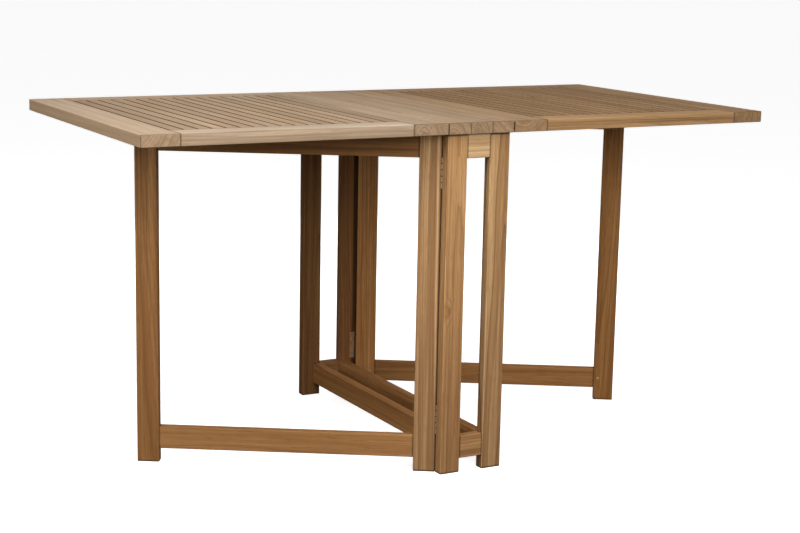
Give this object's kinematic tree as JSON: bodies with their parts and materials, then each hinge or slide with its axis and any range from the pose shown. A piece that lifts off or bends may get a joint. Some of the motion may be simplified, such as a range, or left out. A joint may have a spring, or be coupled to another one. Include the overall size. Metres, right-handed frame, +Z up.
{
  "type": "drop-leaf gateleg table",
  "caption": "Slatted hardwood drop-leaf garden table, standing open, with a narrow centre frame and swinging gates that carry the hinged leaves.",
  "frame": {"origin": "on the floor, under the middle of the table top", "axes": "+X along the length of the open table, +Y from its front to its rear, +Z up"},
  "size_m": [1.455, 0.724, 0.74],
  "materials": {
    "top_wood": "untreated teak, sanded, slightly greyed",
    "frame_wood": "untreated teak, sanded, warm brown",
    "peg_wood": "pale end grain",
    "hinge_brass": "dulled brass",
    "screw_steel": "stainless steel"
  },
  "bodies": {
    "centre_frame": {"front_left_leg": "frame_wood", "front_right_leg": "frame_wood", "rear_left_leg": "frame_wood", "rear_right_leg": "frame_wood", "front_top_rail": "frame_wood", "front_bottom_rail": "frame_wood", "rear_top_rail": "frame_wood", "rear_bottom_rail": "frame_wood", "left_top_rail": "frame_wood", "left_bottom_rail": "frame_wood", "right_top_rail": "frame_wood", "right_bottom_rail": "frame_wood", "centre_board_left": "top_wood", "centre_board_middle": "top_wood", "centre_board_right": "top_wood", "frame_pegs": "peg_wood", "top_screws": "screw_steel", "gate_hinge_fixed_plates": "hinge_brass", "leaf_hinge_fixed_plates": "hinge_brass", "frame_hinge_screws": "screw_steel"},
    "left_leaf": {"left_leaf_outer_stile": "top_wood", "left_leaf_inner_stile": "top_wood", "left_leaf_front_rail": "top_wood", "left_leaf_rear_rail": "top_wood", "left_leaf_slats": "top_wood", "left_leaf_batten": "top_wood", "left_leaf_stop_block": "top_wood", "left_leaf_pegs": "peg_wood", "left_leaf_hinge_plates": "hinge_brass", "left_leaf_hinge_pins": "hinge_brass", "left_leaf_screws": "screw_steel"},
    "left_gate": {"left_gate_hinge_post": "frame_wood", "left_gate_outer_leg": "frame_wood", "left_gate_top_rail": "frame_wood", "left_gate_bottom_rail": "frame_wood", "left_gate_pegs": "peg_wood", "left_gate_hinge_plates": "hinge_brass", "left_gate_hinge_pins": "hinge_brass", "left_gate_screws": "screw_steel"},
    "right_leaf": {"right_leaf_outer_stile": "top_wood", "right_leaf_inner_stile": "top_wood", "right_leaf_front_rail": "top_wood", "right_leaf_rear_rail": "top_wood", "right_leaf_slats": "top_wood", "right_leaf_batten": "top_wood", "right_leaf_stop_block": "top_wood", "right_leaf_pegs": "peg_wood", "right_leaf_hinge_plates": "hinge_brass", "right_leaf_hinge_pins": "hinge_brass", "right_leaf_screws": "screw_steel"},
    "right_gate": {"right_gate_hinge_post": "frame_wood", "right_gate_outer_leg": "frame_wood", "right_gate_top_rail": "frame_wood", "right_gate_bottom_rail": "frame_wood", "right_gate_pegs": "peg_wood", "right_gate_hinge_plates": "hinge_brass", "right_gate_hinge_pins": "hinge_brass", "right_gate_screws": "screw_steel"}
  },
  "joints": [
    {"name": "left_gate_swing", "type": "hinge", "parent": "centre_frame", "child": "left_gate", "pos_m": [-0.07175, -0.329, 0.375], "axis": [0, 0, 1], "range_deg": [-58.58, 0]},
    {"name": "right_gate_swing", "type": "hinge", "parent": "centre_frame", "child": "right_gate", "pos_m": [0.07175, 0.329, 0.375], "axis": [0, 0, 1], "range_deg": [-58.58, 0]},
    {"name": "left_leaf_lift", "type": "hinge", "parent": "centre_frame", "child": "left_leaf", "pos_m": [-0.0775, 0, 0.7185], "axis": [0, 1, 0], "range_deg": [0, 3]},
    {"name": "right_leaf_lift", "type": "hinge", "parent": "centre_frame", "child": "right_leaf", "pos_m": [0.0775, 0, 0.7185], "axis": [0, -1, 0], "range_deg": [0, 3]}
  ]
}
